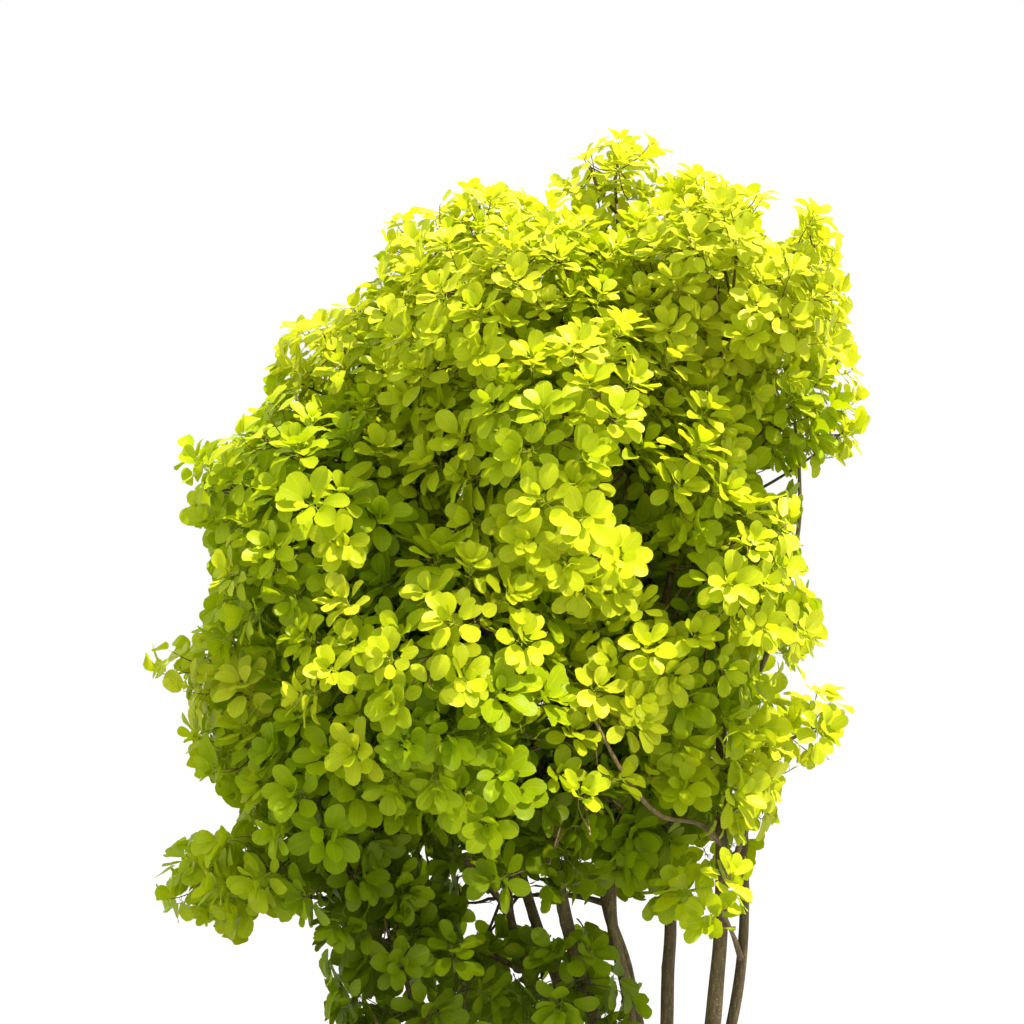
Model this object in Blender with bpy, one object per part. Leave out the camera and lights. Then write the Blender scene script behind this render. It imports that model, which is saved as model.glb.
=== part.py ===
"""Smoke bush: a many-stemmed golden-leaved shrub as separate solids, in metres, +Z up."""
import math

import bmesh
import bpy
import numpy as np
from mathutils import Matrix, Vector
from mathutils.bvhtree import BVHTree

OBJECT_NAME = "smoke_bush"
SEED = 20

# Clear gap between pieces that touch, and between foliage and limbs that pass it
SEAT_GAP = 0.0003
LIMB_CLEARANCE = 0.002
SPACE_MARGIN = 0.0008

# Root crown that all stems rise from, cut flat at the ground
CROWN_RADIUS = 0.105
CROWN_TOP_SHARE = 0.62
CROWN_HEIGHT = 0.085
CROWN_FLARE = 0.055
CROWN_SIDES = 24
SMOOTH_ANGLE = math.radians(50.0)

# Stems start inside the root crown at this height
FOOT_HEIGHT = 0.03

# Limbs: points along each, how a stem swells at its foot, and a bough's size, rise and bow
STEM_STEPS = 9
STEM_TIP_RADIUS = 0.0065
FOOT_SWELL = 1.35
BOUGH_STEPS = 4
BOUGH_BOW = 0.10
BOUGH_ROOT_RADIUS = 0.0082
BOUGH_TIP_RADIUS = 0.0050
BOUGH_RISE = 0.62
SHORTEST_BOUGH = 0.12
CLEAR_OF_STEM = 0.06
ENTRY_SHARE = 0.70

# Foliage: each leaf stands for the few that overlap at a shoot's end
LEAF_LENGTH = 0.172
LEAF_WIDTH = 0.130
LEAF_THICKNESS = 0.0036
LEAF_SINK = 0.0012
LEAVES_PER_TWIG = 3
LEAVES_PER_MASS = 18.7
FULL_MASS_RADIUS = 0.31
TIPS_TRIED = 14
TWIG_ROOT_RADIUS = 0.0042
TWIG_TIP_RADIUS = 0.0030
SMALLEST_LEAF = 0.70
LEAF_TRIALS = 32
LEAF_LIFT = (0.1, 0.9)
LEAF_TURN_BACK = -0.4
INNER_SHARE = -0.10
LEAF_STEP = 0.024

# Crown tiers: height, rise to the right, reach to the left, right and front, then the masses' radius,
# how many there are, and the azimuth of the first
TIERS = {
    "skirt": (0.50, 0.02, -0.81, 0.06, 0.50, 0.25, 3, 210.0),
    "lower": (0.90, 0.02, -1.04, 0.33, 0.62, 0.31, 5, 0.0),
    "middle": (1.21, 0.08, -1.14, 0.37, 0.68, 0.32, 5, 180.0),
    "widest": (1.55, 0.11, -1.07, 0.48, 0.68, 0.33, 5, 0.0),
    "upper": (1.86, 0.08, -0.87, 0.44, 0.58, 0.30, 5, 180.0),
    "top": (2.01, 0.02, -0.66, 0.35, 0.22, 0.23, 2, 180.0),
}
CROWN_MIDDLE = (-0.32, 0.0, 1.20)
CROWN_SHAPE = (1.0, 1.1, 0.6)

# Sprays that stand out of the tiers: centre and radius
SPRAYS = {
    "top_spray": ((-0.095, 0.00, 2.150), 0.190),
    "right_spray": ((0.290, -0.05, 1.000), 0.145),
    "low_left_spray": ((-0.965, -0.02, 0.665), 0.175),
    "low_right_spray": ((0.085, -0.235, 0.650), 0.150),
}

# Stems: foot in plan, knee and waist in space, radius at the foot, and the mass that the tip feeds
STEMS = {
    "stem_centre": ((0.010, 0.020), (0.018, 0.020, 0.42), (0.018, 0.040, 0.76), 0.0165, "top_spray"),
    "stem_right": ((0.070, -0.030), (0.115, -0.060, 0.42), (0.130, -0.060, 0.76), 0.0210, "top_mass_2"),
    "stem_outer_right": ((0.085, 0.035), (0.172, 0.010, 0.42), (0.185, 0.000, 0.76), 0.0150, "widest_mass_1"),
    "stem_back": ((0.020, 0.075), (-0.060, 0.130, 0.42), (-0.110, 0.170, 0.76), 0.0170, "upper_mass_4"),
    "stem_left": ((-0.040, -0.020), (-0.160, -0.030, 0.42), (-0.240, -0.040, 0.76), 0.0190, "top_mass_1"),
    "stem_far_left": ((-0.075, 0.020), (-0.220, 0.050, 0.42), (-0.330, 0.070, 0.76), 0.0160, "upper_mass_1"),
    "stem_slim_left": ((-0.060, 0.055), (-0.310, 0.130, 0.50), (-0.360, 0.180, 0.76), 0.0130, "widest_mass_3"),
    "stem_front": ((-0.010, -0.065), (-0.075, -0.080, 0.42), (-0.100, -0.060, 0.76), 0.0165, "upper_mass_3"),
    "stem_low_left": ((-0.085, -0.035), (-0.300, -0.070, 0.10), (-0.500, -0.110, 0.21), 0.0130, "skirt_mass_1"),
}

BARK_COLOUR = (0.155, 0.110, 0.068, 1.0)
YOUNG_BARK_COLOUR = (0.200, 0.150, 0.070, 1.0)
LEAF_COLOURS = ((0.42, 0.50, 0.030, 1.0), (0.30, 0.38, 0.022, 1.0), (0.21, 0.28, 0.016, 1.0))

GOLDEN_ANGLE = math.pi * (3.0 - math.sqrt(5.0))
UP = np.array((0.0, 0.0, 1.0))


def unit(vector):
    """The vector at length one."""
    return vector / np.linalg.norm(vector)


def clear_scene():
    for scene_object in list(bpy.data.objects):
        bpy.data.objects.remove(scene_object, do_unlink=True)


def make_material(name, colour, roughness):
    material = bpy.data.materials.new(name)
    material.use_nodes = True
    shader = material.node_tree.nodes["Principled BSDF"]
    shader.inputs["Base Color"].default_value = colour
    shader.inputs["Roughness"].default_value = roughness
    shader.inputs["Metallic"].default_value = 0.0
    return material


def add_object(name, mesh, collection, material=None):
    piece = bpy.data.objects.new(name, mesh)
    collection.objects.link(piece)
    if material is not None:
        mesh.materials.clear()
        mesh.materials.append(material)
    return piece


def tier_masses():
    """Centres of the masses of each tier, spread by azimuth so that the outer ones reach the tier's sides."""
    masses = {}
    for tier, (height, rise, left, right, depth, radius, count, first) in TIERS.items():
        azimuths = np.radians(first + 360.0 / count * np.arange(count))
        across = np.cos(azimuths)
        along = np.sin(azimuths)
        share = (across - across.min()) / (across.max() - across.min())
        x_places = left + radius + share * (right - left - 2.0 * radius)
        for number in range(count):
            z_place = height + rise * across[number]
            centre = np.array((x_places[number], along[number] * (depth - radius), z_place))
            masses[f"{tier}_mass_{number + 1}"] = (centre, radius)
    for name, (centre, radius) in SPRAYS.items():
        masses[name] = (np.array(centre), radius)
    return masses


def space_left(points, name, masses):
    """How far each point is inside its mass's space: its ball, cut flat where a neighbour's ball meets it."""
    centre, radius = masses[name]
    room = radius - np.linalg.norm(points - centre, axis=1)
    for other, (far_centre, far_radius) in masses.items():
        if other == name:
            continue
        across = far_centre - centre
        distance = np.linalg.norm(across)
        if distance >= radius + far_radius:
            continue
        face = (distance ** 2 + radius ** 2 - far_radius ** 2) / (2.0 * distance)
        room = np.minimum(room, face - (points - centre) @ (across / distance) - SPACE_MARGIN)
    return room


def smooth_path(controls, steps):
    """A curve through all control points but the last, which only sets the direction at the end."""
    controls = [2.0 * controls[0] - controls[1], *controls]
    path = []
    for index in range(1, len(controls) - 2):
        before, start, end, after = controls[index - 1:index + 3]
        for t in np.linspace(0.0, 1.0, steps, endpoint=False):
            path.append(0.5 * (2.0 * start + (end - before) * t
                               + (2.0 * before - 5.0 * start + 4.0 * end - after) * t ** 2
                               + (3.0 * start - before - 3.0 * end + after) * t ** 3))
    path.append(controls[-2])
    return np.array(path)


def spaced(path, steps):
    """The same path with its points at even distances."""
    lengths = np.concatenate(([0.0], np.cumsum(np.linalg.norm(np.diff(path, axis=0), axis=1))))
    marks = np.linspace(0.0, lengths[-1], steps + 1)
    return np.column_stack([np.interp(marks, lengths, path[:, axis]) for axis in range(3)])


def stem_path(stem, masses):
    """From the root crown through knee and waist to where the stem enters its mass."""
    foot, knee, waist, foot_radius, mass = STEMS[stem]
    centre, radius = masses[mass]
    controls = [np.array((*foot, FOOT_HEIGHT)), np.array(knee), np.array(waist)]
    entry = centre - ENTRY_SHARE * radius * unit(centre - controls[-1])
    path = spaced(smooth_path([*controls, entry, centre], 12), STEM_STEPS)
    share = np.linspace(0.0, 1.0, STEM_STEPS + 1)
    radii = foot_radius + (STEM_TIP_RADIUS - foot_radius) * share ** 0.8
    radii[0] *= FOOT_SWELL
    return path, radii


def bough_path(host_path, place, centre, radius):
    """A rising bow from the axis of its stem to where it enters its mass."""
    root = host_path[place]
    depth = min(ENTRY_SHARE * radius, 0.5 * np.linalg.norm(centre - root))
    entry = centre - depth * unit(centre - root - BOUGH_RISE * radius * UP)
    reach = np.linalg.norm(entry - root)
    bend = root + 0.5 * (entry - root) + BOUGH_BOW * reach * UP
    t = np.linspace(0.0, 1.0, BOUGH_STEPS + 1)[:, None]
    path = (1.0 - t) ** 2 * root + 2.0 * t * (1.0 - t) * bend + t ** 2 * entry
    return path, np.linspace(BOUGH_ROOT_RADIUS, BOUGH_TIP_RADIUS, BOUGH_STEPS + 1)


def tube_mesh(name, path, radii, resolution, extra=0.0):
    """A tapering round tube with closed ends, made from a bevelled curve and then welded."""
    curve = bpy.data.curves.new(name, "CURVE")
    curve.dimensions = "3D"
    curve.bevel_depth = 1.0
    curve.bevel_resolution = resolution
    curve.use_fill_caps = True
    spline = curve.splines.new("POLY")
    spline.points.add(len(path) - 1)
    for point, place, radius in zip(spline.points, path, radii):
        point.co = (*place, 1.0)
        point.radius = radius + extra
    guide = bpy.data.objects.new(name + "_guide", curve)
    bpy.context.scene.collection.objects.link(guide)
    depsgraph = bpy.context.evaluated_depsgraph_get()
    mesh = bpy.data.meshes.new_from_object(guide.evaluated_get(depsgraph), depsgraph=depsgraph)
    bpy.data.objects.remove(guide, do_unlink=True)
    bpy.data.curves.remove(curve)
    shape = bmesh.new()
    shape.from_mesh(mesh)
    bmesh.ops.remove_doubles(shape, verts=shape.verts, dist=0.00001)
    bmesh.ops.recalc_face_normals(shape, faces=shape.faces)
    shape.to_mesh(mesh)
    shape.free()
    mesh.name = name
    mesh.shade_smooth()
    mesh.set_sharp_from_angle(angle=SMOOTH_ANGLE)
    return mesh


def mesh_tree(mesh):
    """A search tree of the mesh's faces, used to test whether shapes touch."""
    corners = [vertex.co.copy() for vertex in mesh.vertices]
    return BVHTree.FromPolygons(corners, [tuple(face.vertices) for face in mesh.polygons])


def limb_tree(name, path, radii, resolution):
    mesh = tube_mesh(name + "_clear", path, radii, resolution, LIMB_CLEARANCE)
    tree = mesh_tree(mesh)
    bpy.data.meshes.remove(mesh)
    return tree


def mass_stem(name, masses, limb):
    """Ends and radii of the stem that carries a limb on into its mass."""
    centre, radius = masses[name]
    limb_points, limb_radii = limb[0], limb[1]
    heading = unit(limb_points[-1] - limb_points[-2])
    start = limb_points[-1] + SEAT_GAP * heading
    length = max((centre - start) @ heading, 0.0) + 0.12 * radius
    return np.array((start, start + length * heading)), (limb_radii[-1], TWIG_ROOT_RADIUS)


def way_tree(mass, masses, path, radii, resolution):
    """A search tree of a limb together with the stem that carries it on into its mass."""
    ends, _ = mass_stem(mass, masses, (path, radii))
    return limb_tree(mass, np.vstack((path, ends[1])), np.append(radii, radii[-1]), resolution)


def choose_boughs(masses, stems):
    """Each mass that no stem feeds gets the shortest bough that rises to it, from a stem that passes it."""
    limbs = {name: (path, radii, 2, None) for name, (path, radii) in stems.items()}
    ways = {name: way_tree(STEMS[name][4], masses, path, radii, 2) for name, (path, radii) in stems.items()}
    fed = {STEMS[name][4]: name for name in stems}
    for mass, (centre, radius) in masses.items():
        if mass in fed:
            continue
        choices = []
        for host, (host_path, host_radii) in stems.items():
            if host_path[-1][2] < centre[2]:
                continue
            for place in range(2, STEM_STEPS - 1):
                drop = centre[2] - host_path[place][2]
                away = np.linalg.norm((centre - host_path[place])[:2])
                choices.append((np.hypot(drop, away) + abs(drop - BOUGH_RISE * away), host, place))
        for cost, host, place in sorted(choices):
            host_path = stems[host][0]
            path, radii = bough_path(host_path, place, centre, radius)
            beside = np.linalg.norm(spaced(host_path, 8 * STEM_STEPS) - path[-1], axis=1).min()
            if np.linalg.norm(path[-1] - path[0]) < SHORTEST_BOUGH or beside < CLEAR_OF_STEM:
                continue
            radii = np.minimum(radii, 0.8 * stems[host][1][place])
            way = way_tree(mass, masses, path, radii, 1)
            upper_way = way_tree(mass, masses, path[1:], radii[1:], 1)
            blocked = [name for name in ways if name != host and ways[name].overlap(way)]
            if not blocked and not ways[host].overlap(upper_way):
                name = mass.replace("_mass", "").replace("_spray", "") + "_bough"
                limbs[name] = (path, radii, 1, host)
                ways[name] = way
                fed[mass] = name
                break
        else:
            raise ValueError(f"no free way to {mass}")
    return limbs, fed


def root_crown_mesh(name, extra=0.0):
    """A low dome with a rib of flare under each stem, lofted from rings that narrow upwards."""
    shape = bmesh.new()
    bmesh.ops.create_cone(shape, cap_ends=True, segments=CROWN_SIDES, radius1=1.0, radius2=0.45, depth=1.0,
                          matrix=Matrix.Translation((0.0, 0.0, 0.5)))
    sides = [edge for edge in shape.edges if abs(edge.verts[0].co.z - edge.verts[1].co.z) > 0.5]
    bmesh.ops.subdivide_edges(shape, edges=sides, cuts=3, use_grid_fill=True)
    feet = [math.atan2(foot[1], foot[0]) for foot, *rest in STEMS.values()]
    for vertex in shape.verts:
        height = vertex.co.z
        azimuth = math.atan2(vertex.co.y, vertex.co.x)
        ribs = max(math.cos(min(abs(azimuth - foot), 2.0 * math.pi - abs(azimuth - foot))) for foot in feet)
        flare = CROWN_FLARE * max(ribs, 0.0) ** 6 * (1.0 - height) ** 2
        width = CROWN_RADIUS * math.sqrt(1.0 - (1.0 - CROWN_TOP_SHARE ** 2) * height ** 2) + flare + extra
        vertex.co.x = width * math.cos(azimuth)
        vertex.co.y = width * math.sin(azimuth)
        vertex.co.z = height * (CROWN_HEIGHT + extra)
    bmesh.ops.recalc_face_normals(shape, faces=shape.faces)
    mesh = bpy.data.meshes.new(name)
    shape.to_mesh(mesh)
    shape.free()
    mesh.shade_smooth()
    mesh.set_sharp_from_angle(angle=SMOOTH_ANGLE)
    return mesh


def boolean_result(piece, operation, operand=None, collection=None):
    """The piece's mesh once one Boolean with an object or a collection has been applied."""
    modifier = piece.modifiers.new("join", "BOOLEAN")
    modifier.operation = operation
    modifier.solver = "EXACT"
    if collection is None:
        modifier.object = operand
    else:
        modifier.operand_type = "COLLECTION"
        modifier.collection = collection
    depsgraph = bpy.context.evaluated_depsgraph_get()
    mesh = bpy.data.meshes.new_from_object(piece.evaluated_get(depsgraph), depsgraph=depsgraph)
    piece.modifiers.remove(modifier)
    return mesh


def cut_clear(piece, cutter_mesh, cutters):
    """Cuts the piece back to the surface that it is seated on."""
    cutter = add_object(piece.name + "_seat", cutter_mesh, cutters)
    cutter.hide_render = True
    cutter.display_type = "WIRE"
    old_mesh = piece.data
    name = old_mesh.name
    piece.data = boolean_result(piece, "DIFFERENCE", operand=cutter)
    bpy.data.objects.remove(cutter, do_unlink=True)
    bpy.data.meshes.remove(old_mesh)
    piece.data.name = name


def twig_shape(shape, start, end, root_radius, tip_radius):
    """A three-sided tapering twig from start to end."""
    along = Vector(end - start)
    turn = along.to_track_quat("Z", "Y").to_matrix().to_4x4()
    middle = Matrix.Translation(Vector((start + end) * 0.5))
    bmesh.ops.create_cone(shape, cap_ends=True, segments=3, radius1=root_radius, radius2=tip_radius,
                          depth=along.length, matrix=middle @ turn)


def leaf_shape(shape, root, direction, face, size):
    """An obovate leaf: a flat five-sided cone with its narrow end at the root and its ridge near the middle."""
    side = unit(np.cross(face, direction))
    normal = np.cross(direction, side)
    outline = ((0.0, 0.0), (0.58, 0.50), (0.96, 0.27), (0.96, -0.27), (0.58, -0.50))
    made = bmesh.ops.create_cone(shape, cap_ends=True, segments=5, radius1=1.0, radius2=0.0, depth=1.0)
    rim = sorted((v for v in made["verts"] if v.co.z < 0.0), key=lambda v: math.atan2(v.co.y, v.co.x))
    ridge = [v for v in made["verts"] if v.co.z > 0.0]
    for vertex, (along, across) in zip(rim, outline):
        place = root + size * (LEAF_LENGTH * along * direction + LEAF_WIDTH * across * side)
        vertex.co = Vector(place)
    ridge[0].co = Vector(root + size * 0.42 * LEAF_LENGTH * direction + LEAF_THICKNESS * normal)


def shape_mesh(name, build, *values):
    """A new mesh of one small shape with its faces pointing out."""
    shape = bmesh.new()
    build(shape, *values)
    if shape.calc_volume(signed=True) < 0.0:
        bmesh.ops.reverse_faces(shape, faces=shape.faces)
    mesh = bpy.data.meshes.new(name)
    shape.to_mesh(mesh)
    shape.free()
    return mesh


def touches(mesh, trees):
    tree = mesh_tree(mesh)
    return any(limb.overlap(tree) for limb in trees.values())


def inside(mesh, name, masses):
    points = np.array([vertex.co for vertex in mesh.vertices])
    return space_left(points, name, masses).min() > 0.0


def shoot_tips(name, masses, rng):
    """Tips spread over the outer part of a mass's space, each as far as may be from those already placed."""
    centre, radius = masses[name]
    outward = unit((centre - CROWN_MIDDLE) * CROWN_SHAPE)
    trial = centre + rng.uniform(-radius, radius, (2000, 3))
    room = space_left(trial, name, masses)
    depth = (trial - centre) @ outward
    trial = trial[(room > 0.05 * radius) & (room < 0.45 * radius) & (depth > INNER_SHARE * radius)]
    flat = trial - 0.5 * np.outer((trial - centre) @ outward, outward)
    chosen = [int(np.argmax((trial - centre) @ outward))]
    while len(chosen) < TIPS_TRIED:
        nearest = np.min([np.linalg.norm(flat - flat[index], axis=1) for index in chosen], axis=0)
        chosen.append(int(np.argmax(nearest)))
    return trial[chosen], outward


def grow_mass(name, masses, carrier, all_trees, rng):
    """Meshes of one mass: its stem, and twigs with leaves at their ends, until the mass has its share."""
    radius = masses[name][1]
    (start, end), stem_radii = carrier
    length = np.linalg.norm(end - start)
    heading = unit(end - start)
    stem = shape_mesh(name, twig_shape, start, end, *stem_radii)
    tips, outward = shoot_tips(name, masses, rng)
    wanted = LEAVES_PER_MASS * (radius / FULL_MASS_RADIUS) ** 1.5
    trees = {key: tree for key, tree in all_trees.items() if key != name}
    grown = {**trees, "stem": mesh_tree(stem)}
    twigs, leaves = [], []
    for number, tip in enumerate(tips):
        share = ((tip - start) @ heading - 0.45 * np.linalg.norm(tip - start)) / length
        root = start + np.clip(share, 0.25, 0.95) * length * heading
        twig = shape_mesh(name + "_twig", twig_shape, root, tip, TWIG_ROOT_RADIUS, TWIG_TIP_RADIUS)
        past_root = 0.8 * root + 0.2 * tip
        upper = shape_mesh(name + "_end", twig_shape, past_root, tip, TWIG_ROOT_RADIUS, TWIG_TIP_RADIUS)
        free = inside(twig, name, masses) and not touches(upper, grown) and not touches(twig, trees)
        bpy.data.meshes.remove(upper)
        new_leaves = grow_leaves(name, masses, grown, (root, tip, outward), number, rng) if free else []
        if not new_leaves:
            bpy.data.meshes.remove(twig)
            continue
        grown[twig.name] = mesh_tree(twig)
        grown.update({leaf.name: mesh_tree(leaf) for leaf in new_leaves})
        twigs.append(twig)
        leaves += new_leaves
        if len(leaves) >= wanted:
            break
    return stem, twigs + leaves


def grow_leaves(name, masses, trees, twig, number, rng):
    """A rosette that faces outwards, turned on by the golden angle, with a leaf only where it has room."""
    root, tip, outward = twig
    heading = unit(tip - root)
    outward = unit(outward + (tip - masses[name][0]) / masses[name][1])
    level = unit(np.cross(outward, UP + 0.01))
    other = np.cross(outward, level)
    leaves = []
    others = dict(trees)
    full = min(1.0, masses[name][1] / FULL_MASS_RADIUS)
    for trial in range(LEAF_TRIALS):
        angle = number + trial * GOLDEN_ANGLE
        around = math.cos(angle) * level + math.sin(angle) * other
        direction = unit(rng.uniform(*LEAF_LIFT) * outward + around)
        if direction @ heading < LEAF_TURN_BACK:
            continue
        face = outward + 0.25 * UP
        seat = tip - heading * (0.004 + LEAF_STEP * len(leaves)) - direction * LEAF_SINK
        size = full * rng.uniform(0.92, 1.08) * (1.0 if trial < LEAF_TRIALS // 2 else SMALLEST_LEAF)
        blade = shape_mesh(name + "_leaf", leaf_shape, seat, direction, face, size)
        if not inside(blade, name, masses) or touches(blade, others):
            bpy.data.meshes.remove(blade)
            continue
        leaves.append(blade)
        others[blade.name] = mesh_tree(blade)
        if len(leaves) == LEAVES_PER_TWIG:
            break
    return leaves


def bodies(shape):
    """Groups of faces that hang together, with the volume that each encloses."""
    seen = set()
    groups = []
    for first in shape.faces:
        if first in seen:
            continue
        stack, group = [first], []
        seen.add(first)
        while stack:
            face = stack.pop()
            group.append(face)
            for edge in face.edges:
                for near in edge.link_faces:
                    if near not in seen:
                        seen.add(near)
                        stack.append(near)
        volume = 0.0
        for face in group:
            corners = [vertex.co for vertex in face.verts]
            for second, third in zip(corners[1:], corners[2:]):
                volume += corners[0].dot(second.cross(third)) / 6.0
        groups.append((volume, group))
    return groups


def keep_one_body(mesh):
    """Fills sealed hollows and drops loose scraps, which leaves the largest body."""
    shape = bmesh.new()
    shape.from_mesh(mesh)
    bmesh.ops.triangulate(shape, faces=shape.faces)
    groups = sorted(bodies(shape), key=lambda item: item[0])
    for volume, group in groups[:-1]:
        bmesh.ops.delete(shape, geom=group, context="FACES")
    shape.to_mesh(mesh)
    shape.free()


def fuse_mass(name, stem, parts, collection, material):
    """One solid from the stem, twigs and leaves of a mass."""
    joined = bpy.data.collections.new(name + "_joined")
    bpy.context.scene.collection.children.link(joined)
    pieces = [add_object(f"{name}_piece", mesh, joined) for mesh in parts]
    node = add_object(name, stem, collection, material)
    fused = boolean_result(node, "UNION", collection=joined)
    for piece, mesh in zip(pieces, parts):
        bpy.data.objects.remove(piece, do_unlink=True)
        bpy.data.meshes.remove(mesh)
    bpy.data.collections.remove(joined)
    keep_one_body(fused)
    fused.materials.clear()
    fused.materials.append(material)
    node.data = fused
    bpy.data.meshes.remove(stem)
    fused.name = name


def build():
    clear_scene()
    scene = bpy.context.scene
    parts_collection = bpy.data.collections.new(OBJECT_NAME)
    cutters = bpy.data.collections.new("cutters")
    scene.collection.children.link(parts_collection)
    scene.collection.children.link(cutters)
    bark = make_material("stem_bark", BARK_COLOUR, 0.85)
    young_bark = make_material("bough_bark", YOUNG_BARK_COLOUR, 0.75)
    greens = [make_material(f"foliage_{number + 1}", colour, 0.5) for number, colour in enumerate(LEAF_COLOURS)]

    masses = tier_masses()
    stems = {name: stem_path(name, masses) for name in STEMS}
    limbs, fed = choose_boughs(masses, stems)

    add_object("root_crown", root_crown_mesh("root_crown"), parts_collection, bark)
    for name, (path, radii, resolution, host) in limbs.items():
        mesh = tube_mesh(name, path, radii, resolution)
        piece = add_object(name, mesh, parts_collection, bark if host is None else young_bark)
        if host is None:
            cut_clear(piece, root_crown_mesh(name + "_seat", SEAT_GAP), cutters)
        else:
            host_path, host_radii, host_resolution, _ = limbs[host]
            seat = tube_mesh(name + "_seat", host_path, host_radii, host_resolution, SEAT_GAP)
            cut_clear(piece, seat, cutters)

    trees = {name: limb_tree(name, path, radii, resolution) for name, (path, radii, resolution, _) in limbs.items()}
    carriers = {name: mass_stem(name, masses, limbs[fed[name]]) for name in masses}
    for name, (path, radii) in carriers.items():
        trees[name] = limb_tree(name, path, radii, 1)
    leaf_count = 0
    for number, name in enumerate(masses):
        rng = np.random.default_rng(SEED + number)
        stem, parts = grow_mass(name, masses, carriers[name], trees, rng)
        leaf_count += sum("_leaf" in mesh.name for mesh in parts)
        fuse_mass(name, stem, parts, parts_collection, greens[number % len(greens)])
    print("masses", len(masses), "limbs", len(limbs), "leaves", leaf_count)


build()
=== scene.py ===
import math

import bpy
import numpy as np
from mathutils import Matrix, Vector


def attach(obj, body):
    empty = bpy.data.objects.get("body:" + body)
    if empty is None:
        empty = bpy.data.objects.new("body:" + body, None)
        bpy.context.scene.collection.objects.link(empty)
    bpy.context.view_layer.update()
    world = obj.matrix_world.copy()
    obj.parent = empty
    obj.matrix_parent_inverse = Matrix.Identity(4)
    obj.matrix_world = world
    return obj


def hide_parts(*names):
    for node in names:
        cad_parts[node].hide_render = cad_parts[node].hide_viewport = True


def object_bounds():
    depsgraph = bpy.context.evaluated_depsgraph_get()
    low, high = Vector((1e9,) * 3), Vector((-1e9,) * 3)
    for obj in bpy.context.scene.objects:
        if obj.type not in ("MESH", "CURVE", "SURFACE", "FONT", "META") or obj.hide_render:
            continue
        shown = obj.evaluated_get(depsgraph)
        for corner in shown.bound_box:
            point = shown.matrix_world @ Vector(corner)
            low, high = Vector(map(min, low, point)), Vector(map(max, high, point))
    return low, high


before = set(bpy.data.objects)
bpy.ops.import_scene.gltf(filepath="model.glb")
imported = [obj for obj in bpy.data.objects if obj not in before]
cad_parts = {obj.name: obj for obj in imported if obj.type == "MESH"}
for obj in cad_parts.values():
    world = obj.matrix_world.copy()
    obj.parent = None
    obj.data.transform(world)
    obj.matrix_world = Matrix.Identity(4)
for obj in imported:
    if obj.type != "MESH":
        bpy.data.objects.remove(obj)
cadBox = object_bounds()
print("frame loaded:", len(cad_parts), "nodes")

scene = bpy.context.scene
up = np.array((0.0, 0.0, 1.0))
goldenAngle = math.pi * (3.0 - math.sqrt(5.0))
fullTurn = 2.0 * math.pi

# camera
cameraSetting = {"place": (-0.3256, -4.5, 1.478), "lens": 71.9, "sensor": 36.0}
eye = np.array(cameraSetting["place"])
cameraData = bpy.data.cameras.new("camera")
cameraData.lens = cameraSetting["lens"]
cameraData.sensor_width = cameraSetting["sensor"]
camera = bpy.data.objects.new("camera", cameraData)
camera.location = cameraSetting["place"]
camera.rotation_euler = (math.radians(90.0), 0.0, 0.0)
scene.collection.objects.link(camera)
scene.camera = camera


# vectors and meshes
def lengthOf(vectors):
    # the root of each row's sum of squares
    return np.linalg.norm(vectors, axis=-1)


def unitRows(vectors):
    # each row divided by its own length
    return vectors / np.maximum(lengthOf(vectors)[..., None], 1e-9)


def smoothNoise(shape, spread, seed):
    # random numbers blurred by a bell curve in the frequency plane, so the grid wraps round, with a deviation of one
    rng = np.random.default_rng(seed)
    rows = np.fft.fftfreq(shape[0])[:, None] * spread[0]
    columns = np.fft.fftfreq(shape[1]) * spread[1]
    bell = np.exp(-2.0 * math.pi ** 2 * (rows ** 2 + columns ** 2))
    field = np.fft.ifft2(np.fft.fft2(rng.standard_normal(shape)) * bell).real
    return field / max(field.std(), 1e-9)


def meshObject(name, points, faces, corners=None):
    # faces holds one array for each number of corners; corners holds each vertex's own u and v
    mesh = bpy.data.meshes.new(name)
    mesh.vertices.add(len(points))
    mesh.vertices.foreach_set("co", points.astype(np.float32).ravel())
    loops = np.concatenate([group.ravel() for group in faces]).astype(np.int32)
    sizes = np.concatenate([np.full(len(group), group.shape[1]) for group in faces])
    starts = np.concatenate(([0], np.cumsum(sizes)[:-1])).astype(np.int32)
    mesh.loops.add(len(loops))
    mesh.loops.foreach_set("vertex_index", loops)
    mesh.polygons.add(len(sizes))
    mesh.polygons.foreach_set("loop_start", starts)
    mesh.polygons.foreach_set("use_smooth", np.ones(len(sizes), dtype=bool))
    if corners is not None:
        layer = mesh.uv_layers.new(name="blade")
        layer.data.foreach_set("uv", corners[loops].astype(np.float32).ravel())
    mesh.update(calc_edges=True)
    mesh.validate()
    piece = bpy.data.objects.new(name, mesh)
    scene.collection.objects.link(piece)
    return piece


def ringQuads(rings, around):
    # four-cornered faces between each ring of points and the next
    here = np.arange((rings - 1) * around).reshape(-1, around)
    beside = np.roll(here, -1, axis=1)
    return np.stack((here, beside, beside + around, here + around), axis=-1).reshape(-1, 4)


def closedRings(rings, around):
    # the faces of a tube that closes on two last points, the first at its foot and the second at its tip
    last, middle = (rings - 1) * around, rings * around
    foot = [(middle, (here + 1) % around, here) for here in range(around)]
    tip = [(middle + 1, last + here, last + (here + 1) % around) for here in range(around)]
    return np.array(foot + tip), ringQuads(rings, around)


def repeated(faces, count, step):
    # the same faces for each of many equal things, the corner numbers moved on by each thing's points
    offset = (np.arange(count) * step)[:, None, None]
    return [(group[None] + offset).reshape(-1, group.shape[1]) for group in faces]


def joined(parts):
    # several (points, (triangles, quads)) pairs as one, with each part's corner numbers moved on
    points, faces = zip(*parts)
    starts = np.cumsum([0, *map(len, points)])
    faces = [np.concatenate([group + start for group, start in zip(kind, starts)]) for kind in zip(*faces)]
    return np.concatenate(points), faces


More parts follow.
